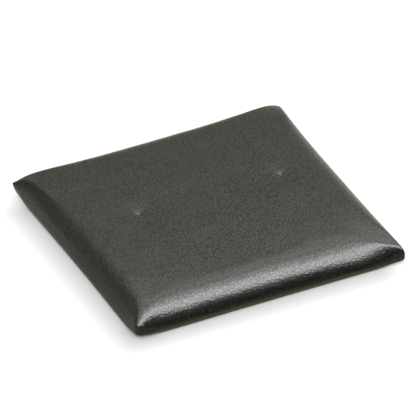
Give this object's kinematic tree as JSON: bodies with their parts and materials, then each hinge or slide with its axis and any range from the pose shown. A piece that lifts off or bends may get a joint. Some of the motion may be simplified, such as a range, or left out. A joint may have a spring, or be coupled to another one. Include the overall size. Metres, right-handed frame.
{
  "type": "wall punch pad",
  "caption": "Square leather-covered striking pad: crowned face over foam on a plywood board, with screw holes through it for fixing to a wall.",
  "frame": {"origin": "middle of the underside, on the wall plane, with the pad lying on its back", "axes": "+Z out of the striking face; +X along the row of screw holes; +Y along the side, towards the edge that the screw holes are nearer to"},
  "size_m": [0.3, 0.3, 0.03],
  "materials": {
    "cover_leather": "black-brown leather with a pebble grain, semi-gloss",
    "soft_foam": "open-cell polyurethane foam, matt",
    "firm_foam": "closed-cell EVA foam, matt",
    "plywood": "sanded birch plywood, unsealed",
    "washer_steel": "zinc-plated steel",
    "staple_steel": "galvanised wire"
  },
  "bodies": {
    "root": {"leather_cover": "cover_leather", "surface_foam": "soft_foam", "impact_foam": "firm_foam", "backing_board": "plywood", "screw_washer_left": "washer_steel", "screw_washer_right": "washer_steel", "hem_staples_front": "staple_steel", "hem_staples_back": "staple_steel", "hem_staples_left": "staple_steel", "hem_staples_right": "staple_steel", "hem_staples_corners": "staple_steel"}
  },
  "joints": []
}
